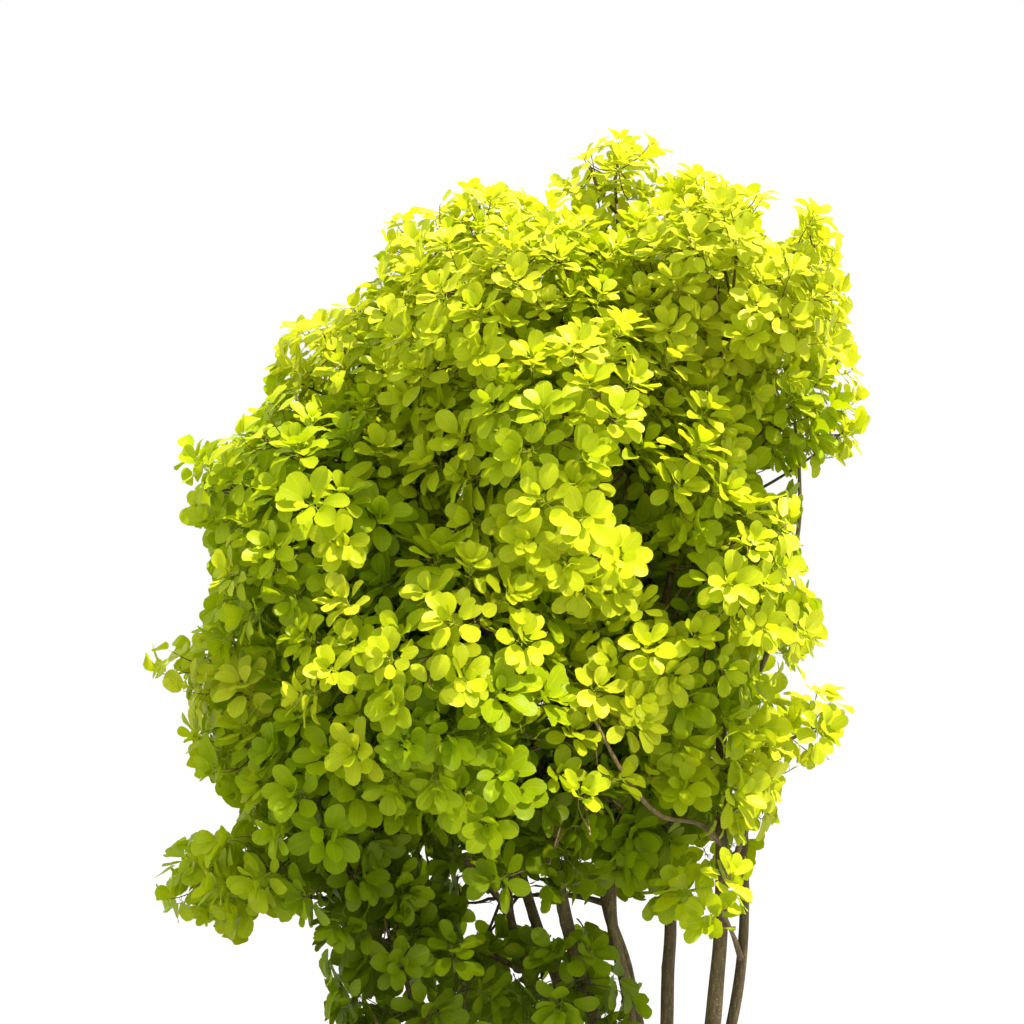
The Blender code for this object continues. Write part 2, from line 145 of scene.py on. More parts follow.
def squarePair(along, guide):
    # two directions square to the path and to each other, the first of them square to the guide too
    side = unitRows(np.cross(along, guide))
    return side, np.cross(along, side)


def ringsRound(middle, along, guide, width, around):
    # middle + width * (cosine * one direction square to the path + sine * the other), at even angles
    side, other = squarePair(along, guide)
    angles = np.linspace(0.0, fullTurn, around, endpoint=False)[:, None]
    ring = np.cos(angles) * side[..., None, :] + np.sin(angles) * other[..., None, :]
    return (middle[..., None, :] + width[..., None] * ring).reshape(-1, 3)


# the crown's rule, as in the source
crownRule = {
    "tiers": {  # height, rise to the right, left, right, front, mass radius, how many, first azimuth
        "skirt": (0.5, 0.02, -0.81, 0.06, 0.5, 0.25, 3, 210.0),
        "lower": (0.9, 0.02, -1.04, 0.33, 0.62, 0.31, 5, 0.0),
        "middle": (1.21, 0.08, -1.14, 0.37, 0.68, 0.32, 5, 180.0),
        "widest": (1.55, 0.11, -1.07, 0.48, 0.68, 0.33, 5, 0.0),
        "upper": (1.86, 0.08, -0.87, 0.44, 0.58, 0.3, 5, 180.0),
        "top": (2.01, 0.02, -0.66, 0.35, 0.22, 0.23, 2, 180.0),
    },
    "sprays": {  # centre and radius
        "top_spray": ((-0.095, 0.0, 2.15), 0.19),
        "right_spray": ((0.29, -0.05, 1.0), 0.145),
        "low_left_spray": ((-0.965, -0.02, 0.665), 0.175),
        "low_right_spray": ((0.085, -0.235, 0.65), 0.15),
    },
    "middle": (-0.32, 0.0, 1.2), "shape": (1.0, 1.1, 0.6), "faceMargin": 0.0008,
}

limbRule = {
    "stems": {  # foot, knee, waist, foot radius, mass that the tip feeds
        "stem_centre": ((0.01, 0.02), (0.018, 0.02, 0.42), (0.018, 0.04, 0.76), 0.0165, "top_spray"),
        "stem_right": ((0.07, -0.03), (0.115, -0.06, 0.42), (0.13, -0.06, 0.76), 0.021, "top_mass_2"),
        "stem_outer_right": ((0.085, 0.035), (0.172, 0.01, 0.42), (0.185, 0.0, 0.76), 0.015, "widest_mass_1"),
        "stem_back": ((0.02, 0.075), (-0.06, 0.13, 0.42), (-0.11, 0.17, 0.76), 0.017, "upper_mass_4"),
        "stem_left": ((-0.04, -0.02), (-0.16, -0.03, 0.42), (-0.24, -0.04, 0.76), 0.019, "top_mass_1"),
        "stem_far_left": ((-0.075, 0.02), (-0.22, 0.05, 0.42), (-0.33, 0.07, 0.76), 0.016, "upper_mass_1"),
        "stem_slim_left": ((-0.06, 0.055), (-0.31, 0.13, 0.5), (-0.36, 0.18, 0.76), 0.013, "widest_mass_3"),
        "stem_front": ((-0.01, -0.065), (-0.075, -0.08, 0.42), (-0.1, -0.06, 0.76), 0.0165, "upper_mass_3"),
        "stem_low_left": ((-0.085, -0.035), (-0.3, -0.07, 0.1), (-0.5, -0.11, 0.21), 0.013, "skirt_mass_1"),
    },
    "boughs": {  # mass: the stem that its bough springs from, and the place along it
        "skirt_mass_2": ("stem_back", 2), "skirt_mass_3": ("stem_back", 3),
        "lower_mass_1": ("stem_left", 4), "lower_mass_2": ("stem_back", 4), "lower_mass_3": ("stem_slim_left", 5),
        "lower_mass_4": ("stem_slim_left", 4), "lower_mass_5": ("stem_front", 4),
        "middle_mass_1": ("stem_slim_left", 7), "middle_mass_2": ("stem_left", 5), "middle_mass_3": ("stem_right", 6),
        "middle_mass_4": ("stem_centre", 5), "middle_mass_5": ("stem_far_left", 6),
        "widest_mass_2": ("stem_centre", 6), "widest_mass_4": ("stem_far_left", 7), "widest_mass_5": ("stem_front", 7),
        "upper_mass_2": ("stem_centre", 7), "upper_mass_5": ("stem_right", 7),
        "right_spray": ("stem_right", 3), "low_left_spray": ("stem_slim_left", 3),
        "low_right_spray": ("stem_outer_right", 3),
    },
    "footHeight": 0.03, "stemSteps": 9, "stemTip": 0.0065, "footSwell": 1.35,
    "boughRoot": 0.0082, "boughTip": 0.005, "boughRise": 0.62, "boughBow": 0.1, "boughShare": 0.8,
    "entryShare": 0.7, "seatGap": 0.0003,
}

fineSteps = {"curve": 12, "stem": 240, "bough": 60}  # the same limbs in more steps than the source's


def massesOf():
    # each tier's centres stand at even azimuths and are stretched sideways to reach the tier's left and right
    masses = {}
    for tier, (height, rise, left, right, front, radius, count, first) in crownRule["tiers"].items():
        azimuths = np.radians(first + 360.0 / count * np.arange(count))
        across = np.cos(azimuths)
        share = (across - across.min()) / (across.max() - across.min())
        sideways = left + radius + share * (right - left - 2.0 * radius)
        places = np.column_stack((sideways, np.sin(azimuths) * (front - radius), height + rise * across))
        masses |= {f"{tier}_mass_{number + 1}": (place, radius) for number, place in enumerate(places)}
    return masses | {name: (np.array(place), radius) for name, (place, radius) in crownRule["sprays"].items()}


def roomLeft(points, name):
    # distance to the ball's skin, or to the flat face where a neighbour's ball meets it, whichever is nearer
    centre, radius = masses[name]
    room = radius - lengthOf(points - centre)
    for other, (farCentre, farRadius) in masses.items():
        distance = lengthOf(farCentre - centre)
        if other == name or distance >= radius + farRadius:
            continue
        face = (distance ** 2 + radius ** 2 - farRadius ** 2) / (2.0 * distance)
        reach = (points - centre) @ ((farCentre - centre) / distance)
        room = np.minimum(room, face - reach - crownRule["faceMargin"])
    return room


def outwardAt(points):
    # the direction from the crown's middle, stretched as the crown is
    return unitRows((points - crownRule["middle"]) * crownRule["shape"])


def smoothPath(controls):
    # a Catmull-Rom curve through all control points but the last, which only sets the direction at the end
    controls = [2.0 * controls[0] - controls[1], *controls]
    t = np.linspace(0, 1, fineSteps["curve"], endpoint=False)[:, None]
    path = []
    for index in range(1, len(controls) - 2):
        before, start, end, after = controls[index - 1:index + 3]
        second = 2.0 * before - 5.0 * start + 4.0 * end - after
        third = 3.0 * start - before - 3.0 * end + after
        path.append(0.5 * (2.0 * start + (end - before) * t + second * t ** 2 + third * t ** 3))
    return np.concatenate([*path, controls[-2][None, :]])


def spaced(path, steps):
    # the same path read at even distances
    lengths = np.concatenate(([0.0], np.cumsum(lengthOf(np.diff(path, axis=0)))))
    marks = np.linspace(0.0, lengths[-1], steps + 1)
    return np.column_stack([np.interp(marks, lengths, path[:, axis]) for axis in range(3)])


def stemPath(stem, steps):
    # a smooth curve from foot to mass; the radius falls as the share of the way to the power 0.8, with a swollen foot
    foot, knee, waist, footRadius, mass = limbRule["stems"][stem]
    centre, radius = masses[mass]
    controls = [np.array((*foot, limbRule["footHeight"])), np.array(knee), np.array(waist)]
    entry = centre - limbRule["entryShare"] * radius * unitRows(centre - controls[-1])
    path = spaced(smoothPath([*controls, entry, centre]), steps)
    share = np.linspace(0, 1, steps + 1)
    radii = footRadius + (limbRule["stemTip"] - footRadius) * share ** 0.8
    radii = radii * (1.0 + (limbRule["footSwell"] - 1.0) * np.clip(1.0 - share * limbRule["stemSteps"], 0.0, 1.0))
    return path, radii


def boughPath(root, centre, radius):
    # a quadratic curve that bows upward from the stem into the mass, with an even taper
    depth = min(limbRule["entryShare"] * radius, 0.5 * lengthOf(centre - root))
    entry = centre - depth * unitRows(centre - root - limbRule["boughRise"] * radius * up)
    reach = lengthOf(entry - root)
    bend = root + 0.5 * (entry - root) + limbRule["boughBow"] * reach * up
    t = np.linspace(0, 1, fineSteps["bough"] + 1)[:, None]
    path = (1.0 - t) ** 2 * root + 2.0 * t * (1.0 - t) * bend + t ** 2 * entry
    return path, np.linspace(limbRule["boughRoot"], limbRule["boughTip"], len(t))


masses = massesOf()
massCentres = np.array([centre for centre, radius in masses.values()])
massRadii = np.array([radius for centre, radius in masses.values()])
limbs, fedBy = {}, {}
for stem, values in limbRule["stems"].items():
    limbs[stem] = stemPath(stem, fineSteps["stem"])
    fedBy[values[4]] = stem
for mass, (stem, place) in limbRule["boughs"].items():
    coarsePath, coarseRadii = stemPath(stem, limbRule["stemSteps"])
    path, radii = boughPath(coarsePath[place], *masses[mass])
    bough = mass.replace("_mass", "").replace("_spray", "") + "_bough"
    limbs[bough] = (path, np.minimum(radii, limbRule["boughShare"] * coarseRadii[place]))
    fedBy[mass] = bough

sideLimbs = {  # its stem, how far under the first place it springs, radius at root and tip, the places it passes
    "bent_limb": (
        "stem_right", 0.06, (0.0068, 0.0042),
        (0.071, -0.18, 0.819), (-0.022, -0.3, 0.856), (-0.098, -0.38, 0.948), (-0.18, -0.42, 1.103),
    ),
    "slender_limb": (
        "stem_outer_right", 0.13, (0.0052, 0.0032),
        (0.236, -0.02, 1.174), (0.296, -0.03, 1.405), (0.303, -0.03, 1.56), (0.29, -0.03, 1.7),
    ),
}
for limb, (stem, drop, ends, *places) in sideLimbs.items():
    carrier = limbs[stem][0]
    root = carrier[np.abs(carrier[:, 2] - (places[0][2] - drop)).argmin()]
    places = [root, *(np.array(place) for place in places)]
    path = spaced(smoothPath([*places, 2.0 * places[-1] - places[-2]]), fineSteps["bough"])
    limbs[limb] = (path, np.linspace(*ends, fineSteps["bough"] + 1))
print("limbs worked out:", len(limbs))


# bark
barkShape = {
    "around": 20, "boughAround": 12,
    "swell": 0.0009, "swellGrain": (9.0, 3.0), "ridge": 0.00045, "ridgeGrain": (5.0, 0.6),
    "knotHeight": 0.0035, "knotLength": 0.01, "knotSharpness": 2.6, "knotsPerMetre": 5.0,
    "tipLength": 0.4,
}


def barkTube(path, radii, around, seed):
    # radius = taper + slow swellings + fine lengthways ridges + round knots, carried round and along the path
    rng = np.random.default_rng(seed)
    rows = len(path)
    along = unitRows(np.gradient(path, axis=0))
    guide = np.eye(3)[np.abs(along.mean(axis=0)).argmin()]
    angles = np.linspace(0.0, fullTurn, around, endpoint=False)
    length = lengthOf(np.diff(path, axis=0)).sum()
    share = radii[:, None] / radii.max()
    relief = barkShape["swell"] * share * smoothNoise((rows, around), barkShape["swellGrain"], seed)
    relief += barkShape["ridge"] * share * smoothNoise((rows, around), barkShape["ridgeGrain"], seed + 1)
    distance = np.linspace(0.0, length, rows)[:, None]
    for knot in range(max(1, round(length * barkShape["knotsPerMetre"]))):
        place, turn = rng.uniform(0.05, 0.95) * length, rng.uniform(0.0, fullTurn)
        nearAlong = ((distance - place) / barkShape["knotLength"]) ** 2
        nearRound = ((1.0 - np.cos(angles - turn)) * barkShape["knotSharpness"]) ** 2
        relief += barkShape["knotHeight"] * share * rng.uniform(0.4, 1.0) * np.exp(-nearAlong - nearRound)
    rings = ringsRound(path, along, guide, radii[:, None] + relief, around)
    end = path[-1:] + barkShape["tipLength"] * radii[-1] * along[-1:]
    return np.concatenate((rings, path[:1], end)), closedRings(rows, around)


rootShape = {
    "radius": 0.105, "topShare": 0.62, "height": 0.085,
    "flare": 0.055, "ribSharpness": 6,
    "lid": 0.2, "lidClosing": 0.94,
    "around": 144, "rows": 40, "relief": 0.0022,
    "grains": ((1.0, (6.0, 1.2), 71), (0.7, (3.0, 4.0), 72)),  # share, spread and seed of each noise
}


def rootCrown():
    # a dome whose width falls from foot to top, with a rib of flare under each stem and lengthways relief; on the lid
    # the width falls as the square of the way to the middle
    around, rows, rim = rootShape["around"], rootShape["rows"], 1.0 - rootShape["lid"]
    angles = np.linspace(-math.pi, math.pi, around, endpoint=False)
    feet = np.array([math.atan2(values[0][1], values[0][0]) for values in limbRule["stems"].values()])
    ribs = np.maximum(np.cos(angles[:, None] - feet).max(axis=1), 0.0) ** rootShape["ribSharpness"]
    t = np.linspace(0, 1, rows)[:, None]
    height = np.minimum(t / rim, 1.0)
    dome = np.sqrt(1.0 - (1.0 - rootShape["topShare"] ** 2) * height ** 2) * rootShape["radius"]
    dome = dome * np.where(t > rim, 1.0 - ((t - rim) / rootShape["lid"]) ** 2 * rootShape["lidClosing"], 1.0)
    width = dome + rootShape["flare"] * ribs * (1.0 - height) ** 2
    grain = sum(share * smoothNoise((rows, around), spread, seed) for share, spread, seed in rootShape["grains"])
    width = width + rootShape["relief"] * grain * np.minimum(t * 6.0, 1.0)
    level = np.broadcast_to(height * rootShape["height"], width.shape)
    points = np.stack((width * np.cos(angles), width * np.sin(angles), level), axis=-1)
    points = np.concatenate((points.reshape(-1, 3), ((0.0, 0.0, 0.0), (0.0, 0.0, rootShape["height"]))))
    return points, closedRings(rows, around)


stemNames = list(limbRule["stems"])
boughNames = [name for name in limbs if name not in stemNames]


def limbPiece(name, limbNames, around, seed):
    # the bark tubes of several limbs as one piece, each with its own seed
    parts = [barkTube(*limbs[limb], around, seed + 7 * number) for number, limb in enumerate(limbNames)]
    return meshObject(name, *joined(parts))


crownPiece = meshObject("root_crown_bark", *rootCrown())
stemPiece = limbPiece("stems_bark", stemNames, barkShape["around"], 100)
boughPiece = limbPiece("boughs_bark", boughNames, barkShape["boughAround"], 300)
print("bark made")


# the sun's direction also paints light into the leaves: those that face it are given lighter tints
light = {  # the sun stands high on the right, and the leaves that face it are lighter
    "from": (0.38, -0.12, 0.915), "strength": 9.4, "angle": 1.5, "colour": (1.0, 0.89, 0.85),
}

# twigs and leaves
skyline = {  # all in millimetres, as it stands against the sky in the upright plane of the stems
    "reach": (  # height, and the crown's left and right reach there
        (300, -720, -20), (366, -740, -22), (418, -730, -30), (470, -744, -60), (523, -775, -80), (540, -800, 150),
        (590, -829, 195), (629, -835, 202), (682, -870, 195), (734, -915, 215), (787, -915, 266), (840, -928, 271),
        (893, -1025, 295), (946, -1030, 387), (998, -1063, 400), (1051, -1035, 385), (1104, -1085, 264),
        (1157, -1115, 326), (1185, -1060, 360), (1210, -1021, 370), (1315, -983, 338), (1421, -985, 300),
        (1474, -1054, 304), (1526, -1052, 308), (1579, -1005, 354), (1600, -995, 440), (1632, -981, 455),
        (1685, -909, 465), (1738, -871, 458), (1843, -847, 431), (1896, -834, 420), (1925, -720, 416),
        (1949, -669, 416), (2054, -610, 395), (2107, -615, 385), (2130, -600, 376), (2160, -475, 376),
        (2190, -470, 230), (2213, -440, 130), (2230, -220, 110), (2265, -196, 30), (2300, -120, 0), (2318, -106, -35),
        (2325, -95, -55),
    ),
    "islands": (  # sideways place, height and radius of leafy parts that stand clear of that outline
        (-985, 685, 98), (-1020, 645, 88), (-930, 590, 60), (-880, 680, 80), (335, 2080, 68), (-300, 2180, 50),
        (-1030, 1600, 40), (-1090, 1150, 50), (315, 1560, 30), (350, 1040, 75), (-95, 2290, 65),
    ),
    "gaps": (  # sideways place, height and radius of each patch of sky inside that outline
        (262, 2115, 40), (-205, 2232, 18), (20, 2240, 20), (-380, 2215, 18), (236, 1130, 22), (-865, 560, 40),
        (-210, 560, 25), (245, 1540, 34), (280, 1085, 16), (-387, 613, 28), (-297, 613, 28), (-253, 569, 30),
        (-132, 580, 28), (-77, 547, 35), (-418, 558, 24), (-340, 480, 18), (-560, 440, 20), (-490, 420, 18),
        (-30, 480, 50),
    ),
    "hollows": (  # sideways place, height, radius, and how far back from the crown's front the leaves begin
        (-484, 734, 120, 360), (-220, 720, 145, 300), (-308, 580, 75, 300), (-45, 780, 120, 360), (90, 710, 70, 450),
        (-616, 1372, 90, 220), (80, 800, 55, 420), (0, 815, 55, 420), (-500, 1450, 70, 200), (-20, 1350, 75, 300),
        (66, 1284, 60, 270), (-60, 1480, 100, 280), (0, 1610, 80, 220), (-380, 1510, 60, 200), (-365, 1636, 40, 180),
        (-352, 1845, 45, 160), (-770, 877, 30, 260),
    ),
    "lobes": (  # sideways place, height and radius of each leafy lobe that stands proud of the crown's front
        (-88, 2274, 101), (-154, 2241, 66), (-396, 2153, 101), (-546, 2109, 75), (88, 2186, 88), (172, 2116, 88),
        (66, 2076, 79), (-154, 2054, 101), (-308, 2021, 92), (-480, 1966, 92), (-407, 1889, 75), (-590, 1933, 79),
        (-510, 1786, 97), (-748, 1874, 97), (-814, 1773, 66), (0, 1911, 79), (-154, 1834, 79), (-136, 1742, 75),
        (-297, 1751, 79), (-246, 1641, 92), (341, 2065, 84), (392, 1977, 70), (392, 1812, 92), (409, 1658, 84),
        (275, 1918, 92), (-207, 1493, 66), (-275, 1372, 97), (-136, 1346, 84), (-253, 1273, 97), (-77, 1163, 97),
        (-132, 1053, 75), (-407, 1236, 101), (-528, 1141, 88), (-590, 928, 106), (-737, 1185, 97), (-847, 1346, 101),
        (-766, 1460, 75), (209, 1438, 84), (187, 1306, 84), (308, 1236, 84), (231, 1038, 88), (363, 1016, 75),
        (231, 884, 79), (114, 862, 75), (-1056, 1135, 75), (-1012, 1526, 84), (-935, 1064, 97), (-869, 1636, 88),
        (-11, 686, 75), (136, 624, 75), (-154, 767, 75), (-1023, 701, 84), (-902, 624, 75), (-460, 1690, 85),
        (-660, 1770, 75),
    ),
}
reachAt, islands, gaps, hollows, lobesAt = (np.array(skyline[kind]) / 1000.0 for kind in skyline)


def inStemPlane(points):
    # sideways place and height of each point, carried along its line of sight to the upright plane of the stems
    scale = eye[1] / (eye[1] - points[:, 1])
    return eye[0] + (points[:, 0] - eye[0]) * scale, eye[2] + (points[:, 2] - eye[2]) * scale


def skyRoom(points):
    # how far each point is inside the outline, seen in the plane of the stems
    across, height = inStemPlane(points)
    heights, lefts, rights = reachAt.T
    room = np.minimum(across - np.interp(height, heights, lefts), np.interp(height, heights, rights) - across)
    room = np.minimum(room, heights[-1] - height)
    for x, z, radius in islands:
        room = np.maximum(room, radius - np.hypot(across - x, height - z))
    for x, z, radius in gaps:
        room = np.minimum(room, np.hypot(across - x, height - z) - radius)
    return room


growth = {
    "seed": 20, "trials": 24000, "fewestTrials": 20, "trialRoom": 0.004, "trialBoxRoom": 0.015,
    "branchSpacing": 0.185, "mostBranches": 14, "branchSkin": (0.09, 0.26), "branchMargin": 0.045,
    "branchSlant": 0.45, "branchRoots": (0.15, 0.95), "bendPlace": 0.55, "bendSpread": 0.012, "bendSag": 0.02,
    "lobeSearch": (-0.74, 0.5, 280), "lobeEdge": 0.012, "lobeRadius": 0.125, "lobeDepth": 0.075,
    "setBack": 0.11, "frontShare": 0.25, "innerShare": -0.4,
    "shootSpacing": ((1.2, 1.9), (0.084, 0.066)), "mostShoots": 170, "shootSkin": (0.024, 0.2),
    "shootMargin": 0.018, "shootBack": (0.55, 0.98), "shootUpright": ((1.3, 1.9), (0.35, 0.5)),
    "shootAim": (0.9, 0.35, 0.3, 0.22),
    "innerSkin": 0.1, "innerSpacing": 0.092, "mostInner": 60,
    "carrierShare": 0.12, "branchRadii": (0.0042, 0.0022), "shootRadii": (0.00198, 0.0009),
}

rosette = {
    "leaves": (12, 17), "leavesInside": 9, "length": 0.048, "turnSpread": 0.18,
    "opening": (26.0, 4.6, 9.0), "openingRange": (12.0, 105.0),
    "crowding": 1.3, "shortest": 0.05, "lowest": 0.2, "droop": 0.06, "facing": (1.1, -0.3, 0.3, 0.16),
    "leafLength": (0.039, 0.049), "sizeSpread": (0.88, 1.12),
    "sizeByStep": (0.68, 0.92, 1.08, 1.0), "sizeByHeight": ((1.45, 1.95), (1.2, 0.9)),
    "proud": (-0.3, 1.45, 0.86), "tipReach": 1.3,
    "skyMargin": -0.002, "boxMargin": 0.002,
}


def boxRoom(points):
    # how far each point is inside the solids' own box
    low, high = np.array(cadBox)
    return np.minimum(points - low, high - points).min(axis=-1)


def coveredAt(points, depth):
    # true where leafy space still lies that much nearer to the viewer along the line of sight
    nearer = points + depth * unitRows(eye - points)
    return (lengthOf(nearer[:, None] - massCentres) < massRadii).any(axis=1)


def inHollow(points):
    # true where the crown's front skin is nearer than the hollow's depth along the line of sight
    across, height = inStemPlane(points)
    hollow = np.zeros(len(points), dtype=bool)
    for x, z, radius, depth in hollows:
        near = np.hypot(across - x, height - z) < radius
        hollow[near] |= ~coveredAt(points[near], depth)
    return hollow


def lobePlaces():
    # each listed lobe goes back along its line of sight to the first place that is well inside a ball
    found = {name: [] for name in masses}
    away = np.linspace(*growth["lobeSearch"])
    scale = (eye[1] - away) / eye[1]
    for across, height, size in lobesAt:
        line = np.column_stack((eye[0] + (across - eye[0]) * scale, away, eye[2] + (height - eye[2]) * scale))
        inside = (massRadii - lengthOf(line[:, None] - massCentres)).max(axis=1)
        deep = inside > growth["lobeDepth"]
        place = line[deep.argmax() if deep.any() else inside.argmax()]
        owner = (massRadii - lengthOf(place - massCentres)).argmax()
        found[list(masses)[owner]].append((*place, size))
    return {name: np.array(places).reshape(-1, 4) for name, places in found.items()}


def carrierOf(name):
    # a limb is carried on straight past its mass's middle by a share of the radius
    centre, radius = masses[name]
    path, radii = limbs[fedBy[name]]
    heading = unitRows(path[-1] - path[-2])
    start = path[-1] + limbRule["seatGap"] * heading
    length = max((centre - start) @ heading, 0.0) + growth["carrierShare"] * radius
    return start, heading, length, radii[-1]


def spreadOut(points, spacing, most, taken, first=None):
    # picks points one by one, each the farthest from those already picked, until the gaps fall to the spacing
    chosen = [] if first is None else [first]
    nearest = np.full(len(points), np.inf)
    for place in [*taken, *chosen]:
        nearest = np.minimum(nearest, lengthOf(points - place))
    while len(chosen) < most and len(points) and nearest.max() > spacing:
        chosen.append(points[nearest.argmax()])
        nearest = np.minimum(nearest, lengthOf(points - chosen[-1]))
    return np.array(chosen).reshape(-1, 3)


def bezier(curves, t):
    # a quadratic curve from root to tip that bends towards its middle point, read at t for each curve
    roots, bends, tips = (points[:, None] for points in curves)
    t = t[..., None]
    return (1.0 - t) ** 2 * roots + 2.0 * t * (1.0 - t) * bends + t ** 2 * tips


def growMass(name, number):
    # of random places in the mass's space, branches reach the lobes and evenly spread ones under the skin, shoots
    # evenly spread ones near a branch's tip; a shoot points away from both the mass's and the crown's middle, and up
    rng = np.random.default_rng(growth["seed"] + number)
    centre, radius = masses[name]
    start, heading, length, stemRadius = carrierOf(name)
    outward = outwardAt(centre)
    trial = centre + rng.uniform(-radius, radius, (growth["trials"], 3))
    room = roomLeft(trial, name)
    skin = radius - lengthOf(trial - centre)
    sky = skyRoom(trial)
    usable = (np.minimum(room, sky) > growth["trialRoom"]) & (boxRoom(trial) > growth["trialBoxRoom"])
    usable[usable] = ~inHollow(trial[usable])
    trial, skin, sky = trial[usable], skin[usable], sky[usable]
    if len(trial) < growth["fewestTrials"]:
        return None
    depth = (trial - centre) @ outward
    free = coveredAt(trial, growth["setBack"]) | (trial[:, 1] > centre[1] - growth["frontShare"] * radius)

    lobes = frontLobes[name]
    low, high = growth["branchSkin"]
    deep = (skin > min(low, 0.4 * radius)) & (skin < high) & (sky > min(growth["branchMargin"], 0.5 * sky.max()))
    deep &= free & (depth > growth["innerShare"] * radius)
    first = trial[depth.argmax()] if not len(lobes) and not deep.any() else None
    others = spreadOut(trial[deep], growth["branchSpacing"], growth["mostBranches"], lobes[:, :3], first)
    tips = np.concatenate((lobes[:, :3], others))
    reach = np.concatenate((lobes[:, 3] + growth["lobeEdge"], np.full(len(others), growth["lobeRadius"])))
    share = (tips - start) @ heading - growth["branchSlant"] * lengthOf(tips - start)
    share = np.clip(share / length, *growth["branchRoots"])
    roots = start + share[:, None] * length * heading
    bends = roots + growth["bendPlace"] * (tips - roots) + rng.normal(0.0, growth["bendSpread"], tips.shape)
    bends -= growth["bendSag"] * up

    near = lengthOf(trial[:, None] - tips) < reach
    nearLobe, nearOther = near[:, :len(lobes)].any(axis=1), near[:, len(lobes):].any(axis=1)
    low, high = growth["shootSkin"]
    outer = (skin > low) & (skin < high) & (sky > min(growth["shootMargin"], 0.4 * sky.max()))
    outer &= nearLobe | (nearOther & free)
    spacing = float(np.interp(centre[2], *growth["shootSpacing"]))
    shootTips = spreadOut(trial[outer], spacing, growth["mostShoots"], ())
    inner = (skin > growth["innerSkin"]) & (sky > growth["branchMargin"])
    innerTips = spreadOut(trial[inner], growth["innerSpacing"], growth["mostInner"], shootTips)
    isInner = np.arange(len(shootTips) + len(innerTips)) >= len(shootTips)
    shootTips = np.concatenate((shootTips, innerTips))
    branchOf = lengthOf(shootTips[:, None] - tips).argmin(axis=1)
    isProud = branchOf < len(lobes)
    kept, branchOf = np.unique(branchOf, return_inverse=True)
    roots, bends, tips = roots[kept], bends[kept], tips[kept]
    length *= share[kept].max()
    back = rng.uniform(*growth["shootBack"], (len(shootTips), 1))
    shootRoots = bezier((roots[branchOf], bends[branchOf], tips[branchOf]), back)[:, 0]
    upright = np.interp(shootTips[:, 2], *growth["shootUpright"])[:, None]
    fromCentre, fromMiddle, fromBranch, varies = growth["shootAim"]
    aim = unitRows(fromCentre * unitRows(shootTips - centre) + fromMiddle * outward + upright * up
                   + fromBranch * unitRows(shootTips - tips[branchOf]) + rng.normal(0.0, varies, shootTips.shape))
    shootBends = shootTips - 0.5 * lengthOf(shootTips - shootRoots)[:, None] * aim
    carrier = np.array((start, start + 0.5 * length * heading, start + length * heading))[:, None]
    return {"carrier": carrier, "branches": (roots, bends, tips), "shoots": (shootRoots, shootBends, shootTips),
            "aim": aim, "branchOf": branchOf, "isInner": isInner, "isProud": isProud, "centre": centre,
            "radius": radius, "stemRadius": stemRadius, "rng": rng}


def leavesOf(grown):
    # leaves alternate by the golden angle, close together at the shoot's end; each opens wider than the one above by
    # an even angle, and its face looks along the shoot, up and a little inward
    rng, shoots, aim = grown["rng"], grown["shoots"], grown["aim"]
    fewest, most = rosette["leaves"]
    counts = np.where(grown["isInner"], rosette["leavesInside"], rng.integers(fewest, most + 1, len(aim)))
    step = np.arange(most)
    lengths = lengthOf(shoots[2] - shoots[0])[:, None]
    place = 1.0 - rosette["length"] * (step / most) ** rosette["crowding"] / np.maximum(lengths, rosette["shortest"])
    place = np.maximum(place, rosette["lowest"])
    roots = bezier(shoots, place)
    axis = np.broadcast_to(aim[:, None], roots.shape)
    side, other = squarePair(axis, unitRows(rng.normal(0.0, 1.0, aim.shape))[:, None])
    many = (len(aim), most)
    turn = step * goldenAngle + rng.normal(0.0, rosette["turnSpread"], many)
    first, wider, varies = rosette["opening"]
    spread = first + wider * step + rng.normal(0.0, varies, many)
    spread = np.radians(np.clip(spread, *rosette["openingRange"]))
    radial = np.cos(turn)[..., None] * side + np.sin(turn)[..., None] * other
    direction = np.cos(spread)[..., None] * axis + np.sin(spread)[..., None] * radial - rosette["droop"] * up
    direction = unitRows(direction)
    forward, sideways, upward, varies = rosette["facing"]
    face = forward * axis + sideways * radial + upward * up + rng.normal(0.0, varies, direction.shape)
    normal = unitRows(face - (face * direction).sum(axis=-1, keepdims=True) * direction)
    size = rng.uniform(*rosette["leafLength"], (len(aim), 1)) * rng.uniform(*rosette["sizeSpread"], many)
    size = size * np.interp(step, (0, 2, 5, most), rosette["sizeByStep"])
    size = size * np.interp(shoots[2][:, 2], *rosette["sizeByHeight"])[:, None]
    front, top, share = rosette["proud"]
    nearFront = grown["isProud"] & (shoots[2][:, 1] < front) & (shoots[2][:, 2] < top)
    size = size * np.where(nearFront, share, 1.0)[:, None]
    tips = roots + direction * (rosette["tipReach"] * size)[..., None]
    flatTips, middles = tips.reshape(-1, 3), 0.5 * (tips + roots).reshape(-1, 3)
    inside = np.minimum(skyRoom(flatTips), skyRoom(middles)) > rosette["skyMargin"]
    inside &= boxRoom(flatTips) > -rosette["boxMargin"]
    used = (step < counts[:, None]) & inside.reshape(size.shape)
    shootOf = np.broadcast_to(np.arange(len(aim))[:, None], used.shape)
    return roots[used], direction[used], normal[used], size[used], shootOf[used]


frontLobes = lobePlaces()
grownMasses = {}
for number, name in enumerate(masses):
    grown = growMass(name, number)
    if grown is not None:
        grown["leaves"] = leavesOf(grown)
        grownMasses[name] = grown
print("masses grown:", len(grownMasses))


